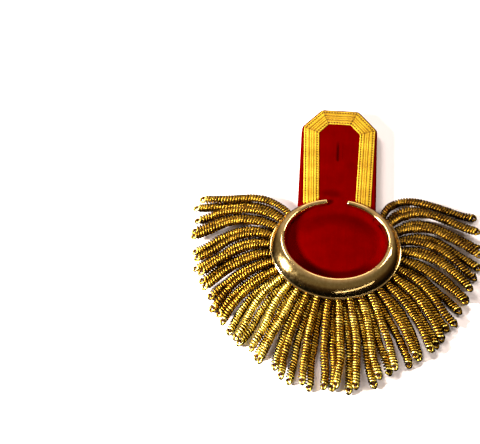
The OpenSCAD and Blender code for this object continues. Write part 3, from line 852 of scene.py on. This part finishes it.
def coreCord(route):
    # a thinner tube along the axis, which ends inside the end loop and tapers over its last steps
    total = lengthsAlong(route)[-1]
    steps = bullion["coreSteps"]
    axis = evenlyAlong(route, np.linspace(0, total - bullion["coreShort"], steps))
    share, over = bullion["coreTaper"]
    thin = bullion["coreRadius"] * (1 - share * smoothStep(np.arange(steps), steps - over, steps - 1))
    return {"points": tubeAlong(axis, np.tile([0, 0, 1.0], (steps, 1)), thin, bullion["coreSides"])}


def addFringe(gimp, core):
    # both rows of coiled strands, in a left and a right piece each, and the core cord inside every coil
    s = np.linspace(0, 1, bullion["axisSteps"])
    rng = np.random.default_rng(bullion["seed"])
    coils, cores = [], []
    for k, route in enumerate(strandRoutes(s)):
        starts = bullion["bendStep"] * k + rng.uniform(*bullion["bendScatter"], 2)
        bend = sum(share * s * np.sin(turns * np.pi * s + stretch * start)
                   for (share, turns, stretch), start in zip(bullion["bends"], starts))
        ahead = unit(np.gradient(route, axis=0))
        route = route + rightOf(ahead) * (bullion["wander"] * bend)[:, None]
        coils.append(coiledStrand(route, 2 * k / (fringe["strands"] - 1) - 1, rng))
        cores.append(coreCord(route))
    for name, row in (("lower", coils[1::2]), ("upper", coils[0::2])):
        half = len(row) // 2
        for side, strands in (("Left", row[:half]), ("Right", row[half:])):
            piece = makePiece(f"{name}Bullion{side}", strands, gimp)
            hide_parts(f"fringe_{name}")
    makePiece("fringeCores", cores, core)


def addHeadTape(material):
    # the woven tape that both rows hang from: a narrow band
    # set on edge just outside the board, round the fan
    last = rootFan + bullion["tapePast"] * rootStep
    turns = np.linspace(-last, last, bullion["tapeSteps"])
    middle, out = ovalPoint(*rootHalf, turns), ovalOut(*rootHalf, turns)
    half, (low, high) = bullion["tapeHalf"], bullion["tapeHeights"]
    sides = [np.column_stack([middle + out * side, np.full(len(turns), z)])
             for side, z in ((-half, low), (-half, high), (half, high), (half, low))]
    return makePiece("headTape", [{"points": np.stack(sides, 1)}], material, smooth=False)


studio = {
    "tableSize": 9000, "tableZ": -0.25, "tableColour": "ebdfdb", "tableShade": "e6dad6", "tableMottle": 333,
    # from black under the table's edge over warm brown to a pale ceiling, by the turn to upToward
    "upToward": (0.0, 0.34, 0.94),
    "room": [(0.53, "0a0806"), (0.63, "3a2c1a"), (0.69, "6c6452"), (0.82, "747064"), (0.92, "a79e9c")],
    "backToward": (0.0, 0.94, 0.34), "backColour": "cec3c0", "backEdge": (0.55, 0.90),
    "lampTint": (1.0, 0.97, 0.93), "lampTarget": (0, 10, 10),
    # name, direction from the piece, distance in metres, size in metres, power in watts
    "lights": [
        ("keySoftbox", (-0.84, -0.21, 0.51), 1.3, (0.23, 0.23), 86),
        ("rightWindow", (0.62, 0.30, 0.72), 1.5, (0.30, 0.8), 13),
        ("leftWindow", (-0.42, 0.42, 0.80), 1.5, (0.36, 0.7), 17),
        ("backWindow", (0.0, 0.95, 0.30), 1.6, (0.9, 0.6), 3.5),
        ("frontStrip", (0.42, -0.75, 0.49), 1.5, (1.2, 0.04), 0.8),
    ],
}
camera = {
    "aim": (-76.17, 23.6, 0), "distance": 1000, "elevation": 65.0, "yaw": -3.72,
    "focalPixels": 1252.94, "widthPixels": 480,
}


def whiteTable():
    # matt white laminate: a faint cloudiness and hardly a reflection
    material, tree, shader = newMaterial("whiteLaminate")
    colours = [(0.2, studio["tableShade"]), (0.8, studio["tableColour"])]
    driftingColour(tree, shader, studio["tableMottle"], colours)
    shader.inputs["Roughness"].default_value = 0.7
    shader.inputs["Specular IOR Level"].default_value = 0.2
    return material


def addTable():
    # one square face, just below the strands
    size = studio["tableSize"] / 2
    points = np.array([[-size, -size], [size, -size], [size, size], [-size, size]])
    points = np.column_stack([points, np.full(4, studio["tableZ"])]) * mm
    mesh = bpy.data.meshes.new("table")
    mesh.from_pydata(points.tolist(), [], [(0, 1, 2, 3)])
    mesh.materials.append(whiteTable())
    table = addObject("table", mesh)
    table.visible_glossy = False   # the brass shows the dark room in front in place of the over-lit table


def addLights():
    # a room that pales upwards and towards the back, and five soft lamps
    world = bpy.data.worlds.new("paleRoom")
    bpy.context.scene.world = world
    world.use_nodes = True
    tree = world.node_tree
    tree.nodes.clear()
    way = addNode(tree, "TexCoord").outputs["Generated"]
    fall = addNode(tree, "VectorMath", {"operation": "DOT_PRODUCT"}, {0: way, 1: studio["upToward"]})
    place = addNode(tree, "MapRange", inputs={0: fall.outputs["Value"], 1: -1.0, 2: 1.0})
    room = addNode(tree, "ValToRGB", {"stops": studio["room"]}, {"Fac": place.outputs[0]})
    back = addNode(tree, "VectorMath", {"operation": "DOT_PRODUCT"}, {0: way, 1: studio["backToward"]})
    low, high = studio["backEdge"]
    share = addNode(tree, "MapRange", {"interpolation_type": "SMOOTHSTEP"},
                    {0: back.outputs["Value"], 1: low, 2: high})
    colour = addNode(tree, "Mix", {"data_type": "RGBA"},
                     {0: share.outputs[0], 6: room.outputs[0], 7: linearColour(studio["backColour"])})
    background = addNode(tree, "Background", inputs={"Color": colour.outputs[2], "Strength": 1.0})
    addNode(tree, "OutputWorld", inputs={"Surface": background.outputs[0]})
    for name, way, distance, size, power in studio["lights"]:
        data = bpy.data.lights.new(name, "AREA")
        data.shape = "RECTANGLE"
        data.size, data.size_y = size
        data.energy = power
        data.color = studio["lampTint"]
        lamp = addObject(name, data)
        lamp.location = Vector(studio["lampTarget"]) * mm + Vector(way).normalized() * distance
        lamp.rotation_euler = Vector(way).to_track_quat("Z", "Y").to_euler()


def addCamera():
    # turned by yaw about the upright and raised by the elevation. The lens is the
    # sensor's width times the focal length over the picture's width, both in px
    e, yaw = math.radians(camera["elevation"]), math.radians(camera["yaw"])
    back = Vector((-math.sin(yaw) * math.cos(e), -math.cos(yaw) * math.cos(e), math.sin(e)))
    right = Vector((math.cos(yaw), -math.sin(yaw), 0))
    data = bpy.data.cameras.new("camera")
    data.sensor_fit = "HORIZONTAL"
    data.sensor_width = 36
    data.lens = data.sensor_width * camera["focalPixels"] / camera["widthPixels"]
    data.clip_start, data.clip_end = 0.05, 30
    eye = addObject("camera", data)
    spot = (Vector(camera["aim"]) + back * camera["distance"]) * mm
    turned = Matrix((right, back.cross(right), back)).transposed().to_4x4()
    eye.matrix_world = Matrix.Translation(spot) @ turned
    bpy.context.scene.camera = eye


addCamera()
addLights()
addTable()
print("table, lights and camera are set")
addClothBody(woolCloth())
addLace(goldLace())
addCrescent(polishedBrass())
core = coreCordPaintedShade()
addFringe(giltBullion(), core)
addHeadTape(core)
print("all pieces are made")

bpy.context.scene.view_settings.view_transform = "Standard"
bpy.context.scene.view_settings.look = "None"
